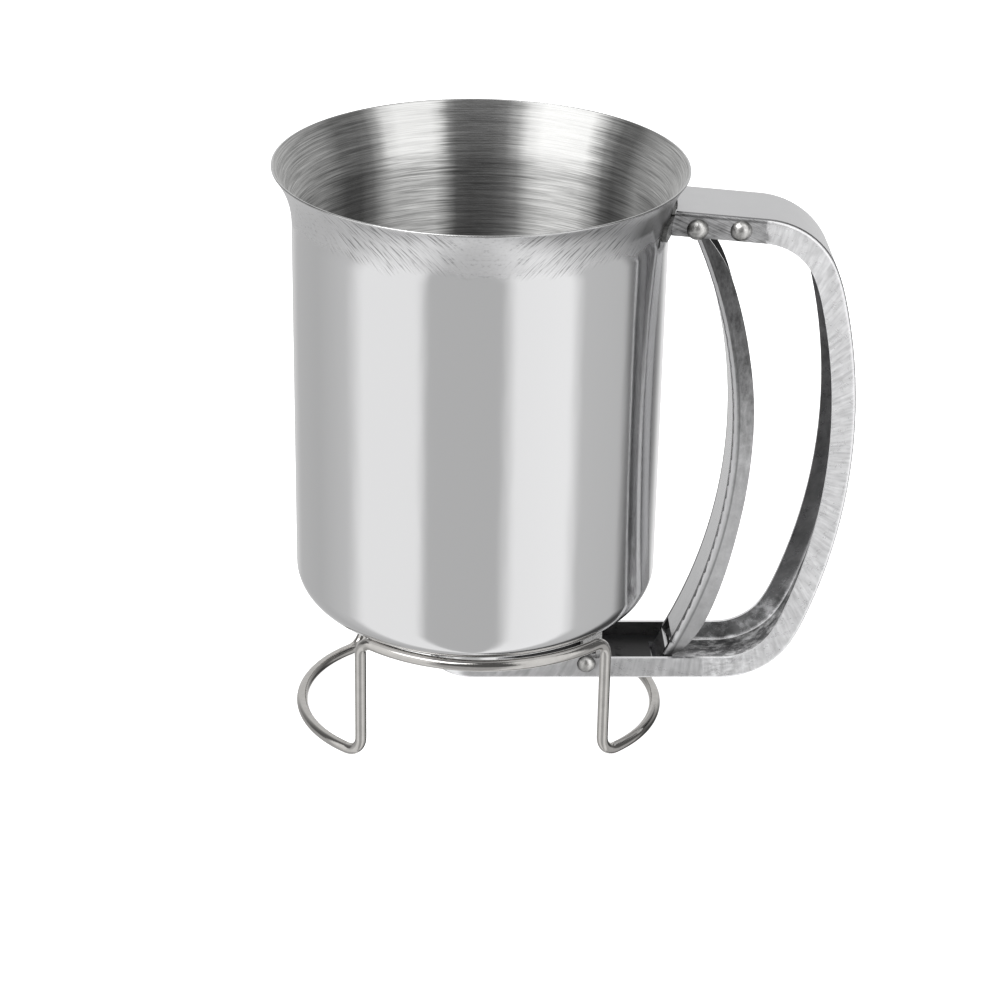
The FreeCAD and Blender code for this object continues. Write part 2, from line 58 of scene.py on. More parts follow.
# ------------------------------------------------------------------ sizes shared with the CAD (mm)
TOTAL_HEIGHT = 155.0
RIM_RADIUS = 52.478
CUP_RADIUS = 47.55          # outside face of the wall
SHEET = 0.6                 # thickness of the cup wall
FLARE_RADIUS = 25.0         # outside face, from the wall out to the rim
SHOULDER_RADIUS = 8.5       # outside face, from the funnel up to the wall
SHOULDER_Z = 45.1
FUNNEL_SLOPE = math.radians(28.0)
BORE_RADIUS = 7.0
HANDLE_WIDTH = 21.6
TRIGGER_WIDTH = 15.2


# ------------------------------------------------------------------ mesh helpers
def link_object(name, data):
    obj = bpy.data.objects.new(name, data)
    bpy.context.scene.collection.objects.link(obj)
    return obj


def mesh_object(name, verts, faces, materials, face_materials=None, smooth=True):
    mesh = bpy.data.meshes.new(name)
    mesh.from_pydata([tuple(v) for v in verts], [], faces)
    for material in materials:
        mesh.materials.append(material)
    if face_materials is not None:
        mesh.polygons.foreach_set("material_index", np.asarray(face_materials, np.int32))
    mesh.polygons.foreach_set("use_smooth", [smooth] * len(mesh.polygons))
    mesh.validate()
    mesh.update()
    return link_object(name, mesh)


def revolve(name, profile, segment_materials, materials, steps):
    """Turns a closed profile [(radius, z)] in mm about Z, with one material per segment."""
    profile = np.array(profile, float)
    count = len(profile)
    turn = np.linspace(0, 2 * math.pi, steps, endpoint=False)
    verts = np.zeros((steps, count, 3))
    verts[:, :, 0] = np.cos(turn)[:, None] * profile[None, :, 0]
    verts[:, :, 1] = np.sin(turn)[:, None] * profile[None, :, 0]
    verts[:, :, 2] = profile[None, :, 1]
    faces, face_materials = [], []
    for i in range(steps):
        here, there = i * count, (i + 1) % steps * count
        for a in range(count):
            b = (a + 1) % count
            faces.append((here + a, there + a, there + b, here + b))
            face_materials.append(segment_materials[a])
    return mesh_object(name, verts.reshape(-1, 3) * MM, faces, materials, face_materials)


def mark_sharp(obj, degrees):
    """Marks hard edges, so that smooth faces keep crisp corners."""
    bm = bmesh.new()
    bm.from_mesh(obj.data)
    for edge in bm.edges:
        if len(edge.link_faces) == 2 and edge.calc_face_angle(0) > math.radians(degrees):
            edge.smooth = False
    bm.to_mesh(obj.data)
    bm.free()


# ------------------------------------------------------------------ node graphs
def operator(operation, swapped=False):
    if swapped:
        return lambda a, b: a.graph.math(operation, b, a)
    return lambda a, b: a.graph.math(operation, a, b)


class Value:
    """An output socket. Arithmetic on it adds Math nodes; < and > give 0 or 1."""

    def __init__(self, graph, socket):
        self.graph, self.socket = graph, socket

    __add__, __radd__ = operator("ADD"), operator("ADD", swapped=True)
    __sub__, __rsub__ = operator("SUBTRACT"), operator("SUBTRACT", swapped=True)
    __mul__, __rmul__ = operator("MULTIPLY"), operator("MULTIPLY", swapped=True)
    __truediv__, __rtruediv__ = operator("DIVIDE"), operator("DIVIDE", swapped=True)
    __lt__, __gt__ = operator("LESS_THAN"), operator("GREATER_THAN")

    def __abs__(self):
        return self.graph.math("ABSOLUTE", self)


class Graph:
    """Builds a node tree. Inputs may be Values or plain numbers."""

    def __init__(self, tree):
        tree.nodes.clear()
        self.tree = tree

    def put(self, socket, value):
        if isinstance(value, Value):
            self.tree.links.new(value.socket, socket)
        else:
            socket.default_value = value

    def make(self, kind, output=0, inputs={}, **settings):
        """Adds a node and returns one of its outputs."""
        node = self.tree.nodes.new(kind)
        for key, setting in settings.items():
            setattr(node, key, setting)
        for key, value in inputs.items():
            self.put(node.inputs[key], value)
        return Value(self, node.outputs[output])

    def math(self, operation, a, b=0.0):
        return self.make("ShaderNodeMath", inputs={0: a, 1: b, 2: 0.0}, operation=operation)

    def xyz(self, x, y, z):
        return self.make("ShaderNodeCombineXYZ", inputs={0: x, 1: y, 2: z})

    def split(self, vector):
        node = self.tree.nodes.new("ShaderNodeSeparateXYZ")
        self.put(node.inputs[0], vector)
        return [Value(self, socket) for socket in node.outputs]

    def noise(self, place, stretch=(), scale=1.0, detail=2.0, rough=0.5):
        """Noise at a vector, or at three parts, each times its stretch (None: as it is).

        A high stretch packs the grain closely along that part; a plain number picks a slice.
        """
        if isinstance(place, tuple):
            place = self.xyz(*(part if factor is None else part * factor
                               for part, factor in zip_longest(place, stretch)))
        return self.make("ShaderNodeTexNoise", "Fac", {
            "Vector": place, "Scale": scale, "Detail": detail, "Roughness": rough})

    def swing(self, noise, by):
        """Noise centred on 0."""
        return (noise - 0.5) * by

    def vary(self, noise, by):
        """Noise centred on 1, to multiply by."""
        return 1.0 + self.swing(noise, by)

    def remap(self, value, span, to):
        inputs = dict(enumerate((value, *span, *to)))
        return self.make("ShaderNodeMapRange", inputs=inputs)

    def rise(self, value, lo, hi):
        return self.remap(value, span=(lo, hi), to=(0.0, 1.0))

    def fall(self, value, lo, hi):
        return self.remap(value, span=(lo, hi), to=(1.0, 0.0))

    def mix(self, factor, a, b):
        return self.make("ShaderNodeMix", 0, {0: factor, 2: a, 3: b}, data_type="FLOAT")

    def mix_colour(self, factor, a, b):
        return self.make("ShaderNodeMix", 2, {0: factor, 6: a, 7: b}, data_type="RGBA")

    def paint(self, tone, mask, strength, to):
        """Pulls the tone towards another where the mask is 1."""
        return self.mix(mask * strength, tone, to)

    def ramp(self, factor, stops):
        """Grey ramp through stops [(position 0..1, value)]."""
        node = self.tree.nodes.new("ShaderNodeValToRGB")
        elements = node.color_ramp.elements
        while len(elements) > 1:
            elements.remove(elements[-1])
        elements[0].position = stops[0][0]
        elements[0].color = (*[stops[0][1]] * 3, 1)
        for position, value in stops[1:]:
            elements.new(position).color = (*[value] * 3, 1)
        self.put(node.inputs[0], factor)
        return Value(self, node.outputs[0])

    def compass(self, x, y):
        return self.math("ARCTAN2", x, y * -1.0)

    def compass_ramp(self, turn, stops):
        """Grey by compass angle: turn is 0..1 for -180..180, stops are in degrees."""
        return self.ramp(turn, [((angle + 180.0) / 360.0, value) for angle, value in stops])


class Surface(Graph):
    """A material with one Principled shader."""

    def __init__(self, name):
        self.material = bpy.data.materials.new(name)
        self.material.use_nodes = True
        super().__init__(self.material.node_tree)
        self.output = self.tree.nodes.new("ShaderNodeOutputMaterial")
        self.principled = self.tree.nodes.new("ShaderNodeBsdfPrincipled")
        self.shader = Value(self, self.principled.outputs[0])
        self.put(self.output.inputs[0], self.shader)

    def set(self, name, value):
        self.put(self.principled.inputs[name], value)

    def set_grey(self, tone, blue=None, name="Base Color"):
        """Grey, with its blue channel scaled if asked."""
        self.set(name, self.xyz(tone, tone, tone if blue is None else tone * blue))

    def set_bump(self, height, strength, distance):
        self.set("Normal", self.make("ShaderNodeBump", 0, {
            "Strength": strength, "Distance": distance, "Height": height}))

    def object_place(self):
        return self.make("ShaderNodeTexCoord", "Object")

    def place_mm(self):
        inputs = {0: self.object_place(), "Scale": 1 / MM}
        return self.make("ShaderNodeVectorMath", inputs=inputs, operation="SCALE")

    def normal(self):
        return self.split(self.make("ShaderNodeTexCoord", "Normal"))

    def polar(self):
        """Radius in mm, the unit direction from the Z axis, then x, y and z in mm."""
        x, y, z = self.split(self.place_mm())
        radius = self.math("SQRT", x * x + y * y)
        inverse = 1.0 / self.math("MAXIMUM", radius, 0.001)
        return radius, x * inverse, y * inverse, x, y, z


# ------------------------------------------------------------------ cup materials
def cup_outside():
    """Polished wall, with hairlines and mirrored dark shapes under the flare."""
    s = Surface("cup_outside")
    _, cx, cy, x, y, z = s.polar()
    wave = s.noise((cx, cy, z), stretch=(5.0, 5.0, 0.03))
    fine = s.noise((cx, cy, z), stretch=(260.0, 260.0, 0.25), detail=3.0)

    # slanting hairlines, leaning towards the front on both sides; short dashes at the very
    # front and round the back
    angle = abs(s.compass(x, y))
    slant = angle * 47.0 - z * 0.85
    hatch = s.noise((slant, z, 0.0), stretch=(2.1, 0.20), rough=0.6)
    sides = s.rise(angle, lo=0.06, hi=0.26) * s.remap(angle, span=(0.70, 0.95), to=(1.0, 0.15))
    dash = s.noise((angle, z, 9.0), stretch=(40.0, 1.5), rough=0.6)
    hatch = s.mix(sides, 0.30 + dash * 0.42, hatch)

    # the hairlines fill a band with an uneven lower edge
    edge = s.noise((cx, cy, 5.0), stretch=(3.5, 3.5))
    band_z = s.remap(edge, span=(0.3, 0.7), to=(139.5, 143.0))
    band = s.rise(z, lo=band_z, hi=band_z + 2.5)
    scuff = s.noise((angle, z, 3.0), stretch=(9.0, 0.9), scale=2.2, detail=5.0, rough=0.7) > 0.73
    relief = wave * 0.5 + fine * 0.012 + hatch * band * 0.20
    s.set_bump(relief, strength=0.35, distance=0.0004)
    dark = s.fall(hatch, lo=0.34, hi=0.47) * band * 0.42

    # the bracket and the arm mirrored in the flare beside them, on the handle side
    turn = s.compass(x, y) + s.swing(edge, by=0.12)
    mirrored = s.rise(turn, lo=0.78, hi=0.90) * s.fall(turn, lo=2.0, hi=2.2)
    foot_z = s.remap(turn, span=(1.02, 1.16), to=(147.0, 138.5))
    mirrored = mirrored * s.rise(z, lo=foot_z - 1.0, hi=foot_z)
    mirrored = mirrored * s.remap(z, span=(151.5, 153.5), to=(1.0, 0.35))
    tone = 0.80 - dark + (hatch - 0.5) * band * 0.5
    tone = tone * (1.0 - mirrored * 0.58)

    # painted shadow and dark reflection in the slit along the edge of the bracket wings, both sides
    gap_turn = 1.160 + s.remap(z, span=(141.6, 144.2), to=(0.0, 0.15))
    off_gap = abs(s.math("ARCTAN2", y, x)) - (math.pi / 2 - gap_turn)
    gap_shadow = s.fall(abs(off_gap), lo=0.014, hi=0.024) * s.rise(z, lo=139.0, hi=139.8)
    gap_shadow = gap_shadow * s.fall(z, lo=144.6, hi=145.6)
    tone = tone * (1.0 - gap_shadow * 0.93)
    s.set_grey(tone, blue=1.008)
    s.set("Metallic", 1.0 - gap_shadow)
    s.set("Specular IOR Level", (1.0 - gap_shadow) * 0.5)
    s.set("Roughness", 0.075 + fine * 0.05 + scuff * 0.03 + band * 0.22)
    return s.material


# brightness mirrored inside the cup: (compass angle in degrees, value)
FLARE_SECTORS = [
    (-180, .27), (-140, .27), (-117, .20), (-105, .105), (-93, .11), (-84, .22), (-77, .52),
    (-70, .88), (-40, .88), (-31, .70), (-24, .33), (-16, .125), (-8, .09), (6, .09),
    (14, .115), (18, .20), (24, .62), (29, .78), (50, .80), (59, .62), (65, .30), (72, .14),
    (80, .11), (95, .13), (107, .21), (130, .25), (180, .27)]
WALL_SECTORS = [
    (-180, .13), (-131, .15), (-116, .22), (-104, .115), (-92, .075), (-84, .11), (-74, .36),
    (-66, .56), (-48, .60), (-40, .56), (-32, .42), (-24, .18), (-16, .10), (-8, .072),
    (6, .068), (14, .09), (18, .18), (23, .34), (28, .47), (45, .44), (56, .40), (63, .27),
    (70, .13), (80, .062), (92, .062), (102, .11), (118, .19), (136, .17), (180, .10)]


def mirrored_turn(s, nx, ny, jitter):
    """Compass angle, as 0..1, of the view ray mirrored by an upright face facing (nx, ny)."""
    view_x, view_y, _ = s.split(s.make("ShaderNodeNewGeometry", "Incoming"))
    twice_dot = 2.0 * (view_x * nx + view_y * ny)
    ray_x = twice_dot * nx - view_x
    ray_y = twice_dot * ny - view_y
    degrees = s.math("DEGREES", s.compass(ray_x, ray_y)) + jitter
    return s.rise(degrees, lo=-180.0, hi=180.0)


def cup_inside():
    """Turned lines run round the cup: fine close ones, with broken coarse ones over them."""
    s = Surface("cup_inside")
    radius, cx, cy, _, _, z = s.polar()
    along = z + radius * 0.9
    fine = s.noise((along, cx, cy), stretch=(2.6, 2.2, 2.2), detail=3.0, rough=0.65)
    coarse = s.noise((along, cx, cy), stretch=(1.5, 3.2, 3.2), detail=4.0, rough=0.65)
    lines = s.rise(fine, lo=0.34, hi=0.66)
    broken = s.rise(coarse, lo=0.36, hi=0.64)
    s.set_bump(lines * 0.6 + broken * 0.35, strength=0.6, distance=0.0002)

    # such lines throw the light up and down but keep its compass direction, so the
    # surroundings show as sharp upright sectors, given here as emission
    turn = mirrored_turn(s, cx * -1.0, cy * -1.0, jitter=s.swing(coarse, by=8.0))
    flare = s.compass_ramp(turn, FLARE_SECTORS)
    wall = s.compass_ramp(turn, WALL_SECTORS)
    # painted shade: the mirrored sectors grow dimmer deeper down in the cup
    depth_shade = s.remap(z, span=(118.0, 140.0), to=(0.80, 1.0))
    depth_shade = depth_shade * s.remap(z, span=(40.0, 118.0), to=(0.55, 1.0))
    on_flare = s.rise(z + s.swing(coarse, by=3.0), lo=138.5, hi=143.5)
    glow = s.mix(on_flare, wall * depth_shade, flare)
    contrast = s.remap(glow, span=(0.45, 0.85), to=(0.95, 0.16))
    variation = s.swing(lines, by=0.8) + s.swing(broken, by=0.55)
    glow = (glow - 0.03) * (1.0 + variation * contrast)
    s.set_grey(glow, blue=0.985, name="Emission Color")
    s.set("Emission Strength", 1.0)
    s.set_grey(0.10 + lines * 0.06)
    s.set("Metallic", 1.0)
    s.set("Roughness", 0.34 + coarse * 0.10)
    s.set("Anisotropic", 1.0)
    s.set("Anisotropic Rotation", 0.25)
    s.set("Tangent", s.make("ShaderNodeTangent", direction_type="RADIAL", axis="Z"))
    return s.material


def cup_lip():
    s = Surface("cup_lip")
    _, cx, cy, _, _, z = s.polar()
    grain = s.noise((cx, cy, z), stretch=(22.0, 22.0), detail=3.0)
    s.set("Metallic", 1.0)
    s.set_grey(0.48 + grain * 0.3)
    s.set("Roughness", 0.12 + grain * 0.16)
    s.set_bump(grain, strength=0.15, distance=0.0001)
    return s.material


# ------------------------------------------------------------------ formed strips
class Strip(Surface):
    """Formed sheet channel: smooth web, flanges linished across their length.

    centre is the (x, z) that the strip bends round; arc_radius turns angles into lengths.
    """

    def __init__(self, name, centre, arc_radius, grain_stretch):
        super().__init__(name)
        self.place = self.place_mm()
        self.x, self.y, self.z = self.split(self.place)
        self.nx, self.ny, self.nz = self.normal()
        self.tilt = abs(self.ny)      # 0 on the web, 1 on the flanges
        self.flange = self.rise(self.tilt, lo=0.55, hi=0.75)
        self.dx = self.x - centre[0]
        self.dz = self.z - centre[1]
        self.radius = self.math("SQRT", self.dx * self.dx + self.dz * self.dz)
        self.along = self.math("ARCTAN2", self.dz, self.dx) * arc_radius
        self.grain = self.strip_noise((grain_stretch, 0.16, 0.2), detail=2.0, rough=0.6)
        self.patch = self.strip_noise((0.35, 0.5), detail=4.0, rough=0.65)
        self.web_grain = self.strip_noise((0.08, 0.2, 4.5), detail=4.0, rough=0.7)

    def strip_noise(self, stretch, detail, rough):
        """Noise with stretch along the strip, out from its centre and across its width."""
        return self.noise((self.along, self.radius, self.y), stretch, detail=detail, rough=rough)

    def inside(self, web_inside):
        """1 inside the channel: on the given part of the web and the flanges' inner faces."""
        flange_inside = (self.ny * self.y < 0.0) * (self.tilt > 0.5)
        return self.math("MAXIMUM", web_inside, flange_inside)

    def flange_tone(self, by_height, grain_swing):
        """Tone through stops [(z, value)], with grain and patches."""
        bottom, top = by_height[0][0], by_height[-1][0]
        peak = max(value for _, value in by_height)
        stops = [((z - bottom) / (top - bottom), value / peak) for z, value in by_height]
        tone = self.ramp(self.rise(self.z, lo=bottom, hi=top), stops) * peak
        tone = tone * self.vary(self.grain, by=grain_swing)
        return tone * self.vary(self.patch, by=0.40)

    def web_tone(self, tone):
        cloud = self.noise(self.place, scale=0.22, detail=4.0, rough=0.6)
        return tone + self.swing(self.web_grain, by=0.05) + self.swing(cloud, by=0.05)

    def inner_shade_and_sheen(self, tone):
        # painted shade inside the channel, broken by streaks of painted highlight
        inner_sheen_streak = self.strip_noise((0.12, 0.2, 1.1), detail=4.0, rough=0.6)
        return tone * self.vary(inner_sheen_streak, by=1.6)

    def finish(self, tone, inside, web_roughness, flange_roughness, flange_metallic):
        self.set_grey(tone, blue=1.012)
        flange_roughness = flange_roughness + self.swing(self.patch, by=0.25)
        self.set("Roughness", self.mix(self.flange, web_roughness, flange_roughness))
        metallic = self.mix(self.flange, 1.0, flange_metallic)
        self.set("Metallic", self.mix(inside, metallic, 1.0))
        relief = self.mix(self.flange, self.web_grain, self.grain)
        self.set_bump(relief, strength=self.mix(self.flange, 0.10, 0.07), distance=0.00012)
        return self.material


def handle_strip():
    s = Strip("handle_strip", centre=(60.0, 79.0), arc_radius=40.0, grain_stretch=1.25)
    x, y, z = s.x, s.y, s.z
    facing_out = (s.nx * s.dx + s.nz * s.dz) / s.radius
    web_inside = (facing_out < -0.3) * (s.tilt < 0.5)
    inside = s.inside(web_inside)
    flange_tone = s.flange_tone([(10, 0.56), (40, 0.61), (80, 0.60), (150, 0.66)],
                                grain_swing=0.95)

    # hand-finished zone round the upper rivets, duller and scratched at a slant
    wobble = s.swing(s.noise(s.place, scale=0.6, detail=4.0, rough=0.7), by=7.0)
    zone = s.fall(x + wobble, lo=71.2, hi=72.6) * (z > 130.0)
    slant = s.noise((x * 0.22 + z * 0.35, z * 2.4 + x * 1.1, 0.0), detail=5.0, rough=0.75)
    blot = s.noise((x, y, z), stretch=(0.25, None, 0.5), detail=3.0, rough=0.6)
    dull = s.remap(x, span=(50.0, 63.0), to=(0.33, 0.58)) + s.swing(slant, by=1.3)
    dull = dull + s.swing(blot, by=0.9)

    # darker end of the bottom arm, and scrubbed flanges beside it
    low_end = s.fall(x + wobble, lo=60.5, hi=63.5) * (z < 30.0)
    scrub = s.noise((x, y, z), stretch=(0.5, None, 1.1), detail=4.0, rough=0.7)
    scrub_amount = s.rise(x, lo=60.0, hi=63.0) * s.remap(x, span=(70.0, 80.0), to=(1.6, 0.0))
    scrub = s.swing(scrub, by=scrub_amount)
    flange_tone = flange_tone * (1.0 + scrub * (z < 30.0))
    flange_tone = s.mix(low_end, flange_tone, flange_tone * 0.78)
    flange_tone = s.mix(zone, flange_tone, dull)

    # bright patches inside the bottom bend: painted highlights, which also glint as emission
    bottom_bend_highlight = s.noise((x, y, z), stretch=(0.28, 0.45, 0.28), detail=4.0, rough=0.7)
    bottom_bend = s.rise(x, lo=56.0, hi=62.0) * s.fall(z, lo=24.0, hi=42.0)
    bottom_bend_highlight = s.rise(bottom_bend_highlight, lo=0.47, hi=0.66) * bottom_bend
    inner_shade_and_sheen = s.mix(bottom_bend_highlight, s.inner_shade_and_sheen(0.42), 0.95)
    glint = web_inside * bottom_bend_highlight * 0.16
    tone = s.mix(s.flange, s.web_tone(0.67), flange_tone)
    tone = s.mix(inside, tone, inner_shade_and_sheen)

    # the fold: painted shade along the web side, a painted highlight along the flange side
    fold_shade = s.rise(s.tilt, lo=0.08, hi=0.16) * s.fall(s.tilt, lo=0.42, hi=0.52)
    edge_highlight = s.rise(s.tilt, lo=0.62, hi=0.72) * s.fall(s.tilt, lo=0.90, hi=0.97)
    edge_highlight = edge_highlight * (1.0 - zone)
    tone = s.paint(tone, fold_shade, strength=0.72, to=0.10)
    tone = s.paint(tone, edge_highlight, strength=0.8, to=0.95)

    # painted highlights along the margins of the web inside the channel, with a painted glint on
    # the seam
    across = abs(y)
    web_margin_highlight = web_inside * (across > HANDLE_WIDTH / 2 - 1.75)
    tone = s.paint(tone, web_margin_highlight, strength=0.8, to=1.0)
    seam_glint = web_margin_highlight * (across < HANDLE_WIDTH / 2 - 1.0)
    glint = glint + seam_glint * s.remap(z, span=(25.0, 60.0), to=(0.30, 0.05))
    # the painted glints are given as emission
    s.set_grey(glint, name="Emission Color")
    s.set("Emission Strength", 1.0)
    return s.finish(tone, inside, web_roughness=0.26, flange_roughness=0.30,
                    flange_metallic=s.mix(zone, 0.55, 1.0))


def trigger_strip():
    web_radius = 136.60
    s = Strip("trigger_strip", centre=(-70.45, 81.62), arc_radius=web_radius, grain_stretch=0.5)
    z = s.z
    inside = s.inside(0.0)
    flange_tone = s.flange_tone([(15, 0.46), (30, 0.54), (48, 0.66), (74, 0.62), (88, 0.46),
                                 (106, 0.22), (130, 0.13), (145, 0.13)], grain_swing=0.25)
    # handled, and more uneven towards the top
    handled = s.noise((s.x, s.y, z), stretch=(0.7, None, 0.35), detail=4.0, rough=0.7)
    unevenness = s.remap(z, span=(60.0, 100.0), to=(0.3, 2.2))
    flange_tone = flange_tone * s.vary(handled, by=unevenness)
    tone = s.mix(s.flange, s.web_tone(0.72), flange_tone)
    tone = s.mix(inside, tone, s.inner_shade_and_sheen(0.10))

    # lines along the edges, placed across the width and by depth out from the web: painted
    # highlights on the bend and on the flanges' free edges, painted shade on the web beside the
    # bend, and a thin dark line on the flanges
    half = TRIGGER_WIDTH / 2
    across = abs(s.y)
    depth = s.radius - web_radius
    bend_highlight = s.rise(across, lo=half - 0.98, hi=half - 0.86) * (
        s.fall(depth, lo=0.95, hi=1.1) * s.rise(z, lo=20.0, hi=24.0))
    shaded = (across < half - 0.95) * ((across > half - 2.0) * (depth < 0.4))
    thin = (s.tilt > 0.9) * (s.rise(depth, lo=1.25, hi=1.45) * s.fall(depth, lo=1.75, hi=1.95))
    flange_edge_highlight = (s.tilt < 0.5) * (depth > 1.6)
    tone = s.paint(tone, bend_highlight, strength=0.75, to=0.80)
    tone = s.paint(tone, shaded, strength=0.95, to=0.03)
    tone = s.paint(tone, thin, strength=0.55, to=0.15)
    tone = s.paint(tone, flange_edge_highlight, strength=0.9, to=0.95)
    return s.finish(tone, inside, web_roughness=0.24, flange_roughness=0.32,
                    flange_metallic=0.92)


# ------------------------------------------------------------------ small parts
def plain_metal(name, tone, roughness, scale, tint=(1.0, 1.0, 1.0), tone_swing=0.24, bump=0.2):
    """Bare metal with cloudy tone and a finer uneven polish."""
    s = Surface(name)
    stretch = 1.0           # the same along all three axes
    place = s.xyz(*(part * stretch for part in s.split(s.place_mm())))
    cloud = s.noise(place, scale=scale, detail=5.0, rough=0.65)
    fine = s.noise(place, scale=scale * 6.0, detail=3.0, rough=0.6)
    tone = tone + s.swing(cloud, by=tone_swing)
    s.set("Base Color", s.xyz(*(tone * channel for channel in tint)))
    s.set("Roughness", roughness + s.swing(fine, by=roughness * 0.8))
    s.set("Metallic", 1.0)
    s.set_bump(cloud * 0.5 + fine, strength=bump, distance=0.0001)
    return s.material


def valve_black():
    """Black slide, with painted highlights on the steep edges of its pressed marks."""
    s = Surface("valve_black")
    place = s.place_mm()
    x, y, z = s.split(place)
    brushed = s.noise((x, y, z), stretch=(0.15, 2.5), detail=4.0, rough=0.6)
    fine = s.noise(place, scale=2.5, detail=4.0, rough=0.7)
    _, _, nz = s.normal()
    # painted highlight on the steep edges of the pressed marks
    edge_highlight = (nz < 0.9) * (nz > -0.5)
    tone = s.mix(edge_highlight, 0.007 + brushed * 0.009, 0.10 + fine * 0.25)
    s.set_grey(tone, blue=1.06)
    s.set("Roughness", 0.34 + fine * 0.2)
    s.set_bump(brushed + fine * 0.4, strength=0.25, distance=0.0001)
    return s.material


def rivet_dome():
    """Pressed dome: painted shadow where it meets the sheet, painted highlight on top and towards
    +X, small dents.
    """
    s = Surface("rivet_dome")
    place = s.place_mm()
    nx, ny, nz = s.normal()
    dents = s.noise(place, scale=1.3, detail=4.0, rough=0.7)
    fine = s.noise(place, scale=4.0, detail=3.0, rough=0.6)
    # painted shadow: the dome darkens towards its rim, where it meets the sheet
    tone = s.remap(abs(ny), span=(0.40, 0.72), to=(0.10, 0.60))
    # painted light: faces turned up and towards +X are lighter
    painted_light_side = nx * 0.55 + nz * 0.80         # faces turned up and towards +X
    tone = tone * s.remap(painted_light_side, span=(-0.45, 0.45), to=(0.62, 1.45))
    tone = tone * s.vary(dents, by=1.5)
    s.set("Base Color", s.xyz(tone, tone * 0.99, tone * 0.965))
    s.set("Metallic", 1.0)
    s.set("Roughness", 0.20 + fine * 0.22)
    s.set_bump(dents + fine * 0.5, strength=0.35, distance=0.00012)
    return s.material


def bracket_wings():
    """Bracket under the rim: painted highlights on the curves, painted shade on the wings, which
    face only the dark slit beside the cup.
    """
    s = Surface("bracket_wings")
    place = s.place_mm()
    x, _, _ = s.split(place)
    _, ny, _ = s.normal()
    shade = s.fall(x, lo=46.6, hi=47.4)
    cloud = s.noise(place, scale=0.9, detail=4.0, rough=0.7)
    tilt = abs(ny)
    # painted highlight on the curves between cheeks and wings, painted shade on the wing faces
    tone = s.remap(tilt, span=(0.48, 0.60), to=(0.10, 0.95))
    tone = s.mix(s.rise(tilt, lo=0.86, hi=0.97), tone, 0.24)
    tone = tone * s.vary(cloud, by=0.7)
    # painted shade close to the cup wall
    tone = s.mix(shade, tone, 0.02 + cloud * 0.12)
    s.set_grey(tone, blue=0.985)
    s.set("Metallic", 1.0 - shade * 0.75)
    s.set("Specular IOR Level", 0.5 - shade * 0.35)
    s.set("Roughness", 0.16 + cloud * 0.20)
    s.set_bump(cloud, strength=0.25, distance=0.0001)
    return s.material


def assign(material, *nodes):
    """Gives the material to every slot of the named CAD pieces."""
    for node in nodes:
        slots = NODES[node].data.materials
        for i in range(len(slots)):
            slots[i] = material
        if not slots:
            slots.append(material)


CUP_MATERIALS = [cup_outside(), cup_inside(), cup_lip()]
OUTSIDE, INSIDE, LIP = range(3)
assign(plain_metal("collar_bright", tone=0.80, roughness=0.12, scale=0.5), "outlet_collar")
assign(handle_strip(), "handle_channel")
assign(bracket_wings(), "upper_bracket")
assign(plain_metal("bracket_bright", tone=0.66, roughness=0.24, scale=0.5, bump=0.3),
       "lower_bracket", "front_tab")
assign(trigger_strip(), "trigger_lever")
assign(rivet_dome(), "pivot_rivet", "post_rivet", "lower_rivet")
assign(plain_metal("washer_plain", tone=0.6, roughness=0.3, scale=0.8), "pivot_washers")
assign(valve_black(), "valve_slide")
assign(plain_metal("spring_wire", tone=0.5, roughness=0.25, scale=0.8), "return_spring")
assign(plain_metal("stand_wire", tone=0.58, roughness=0.11, scale=0.35,
                   tint=(1.0, 0.975, 0.94), tone_swing=0.20, bump=0.12), "wire_stand")

# ------------------------------------------------------------------ cup, turned in fine steps
FLARE_CENTRE = CUP_RADIUS + FLARE_RADIUS
MID_RADIUS = FLARE_RADIUS + SHEET / 2
FLARE_ANGLE = math.acos((FLARE_CENTRE - (RIM_RADIUS - SHEET / 2)) / MID_RADIUS)
FLARE_Z = TOTAL_HEIGHT - SHEET / 2 - MID_RADIUS * math.sin(FLARE_ANGLE)


def cup_face(offset):
    """Points (radius, z) from the bore up to the rim, offset outwards from the outside face."""
    shoulder = SHOULDER_RADIUS + offset
    shoulder_centre = CUP_RADIUS - SHOULDER_RADIUS
    cone_r = shoulder_centre + shoulder * math.sin(FUNNEL_SLOPE)
    cone_z = SHOULDER_Z - shoulder * math.cos(FUNNEL_SLOPE)
    points = []
    for t in np.linspace(0, 1, 15)[:-1]:
        r = BORE_RADIUS + (cone_r - BORE_RADIUS) * t
        points.append((r, cone_z - (cone_r - r) * math.tan(FUNNEL_SLOPE)))
    for a in np.linspace(FUNNEL_SLOPE, math.pi / 2, 25):
        points.append((shoulder_centre + shoulder * math.sin(a),
                       SHOULDER_Z - shoulder * math.cos(a)))
    for t in np.linspace(0, 1, 25)[1:]:
        points.append((CUP_RADIUS + offset, SHOULDER_Z + (FLARE_Z - SHOULDER_Z) * t))
    flare = FLARE_RADIUS - offset
    for a in np.linspace(0, FLARE_ANGLE, 25)[1:]:
        points.append((FLARE_CENTRE - flare * math.cos(a), FLARE_Z + flare * math.sin(a)))
    return points


def lip_round():
    """Half round across the sheet end, from the outside face to the inside one."""
    cos_f, sin_f = math.cos(FLARE_ANGLE), math.sin(FLARE_ANGLE)
    centre_r = FLARE_CENTRE - MID_RADIUS * cos_f
    centre_z = FLARE_Z + MID_RADIUS * sin_f
    points = []
    for a in np.linspace(math.pi, 0, 13)[1:-1]:
        outward, along = -math.cos(a), math.sin(a)
        points.append((centre_r + SHEET / 2 * (cos_f * outward + sin_f * along),
                       centre_z + SHEET / 2 * (-sin_f * outward + cos_f * along)))
    return points


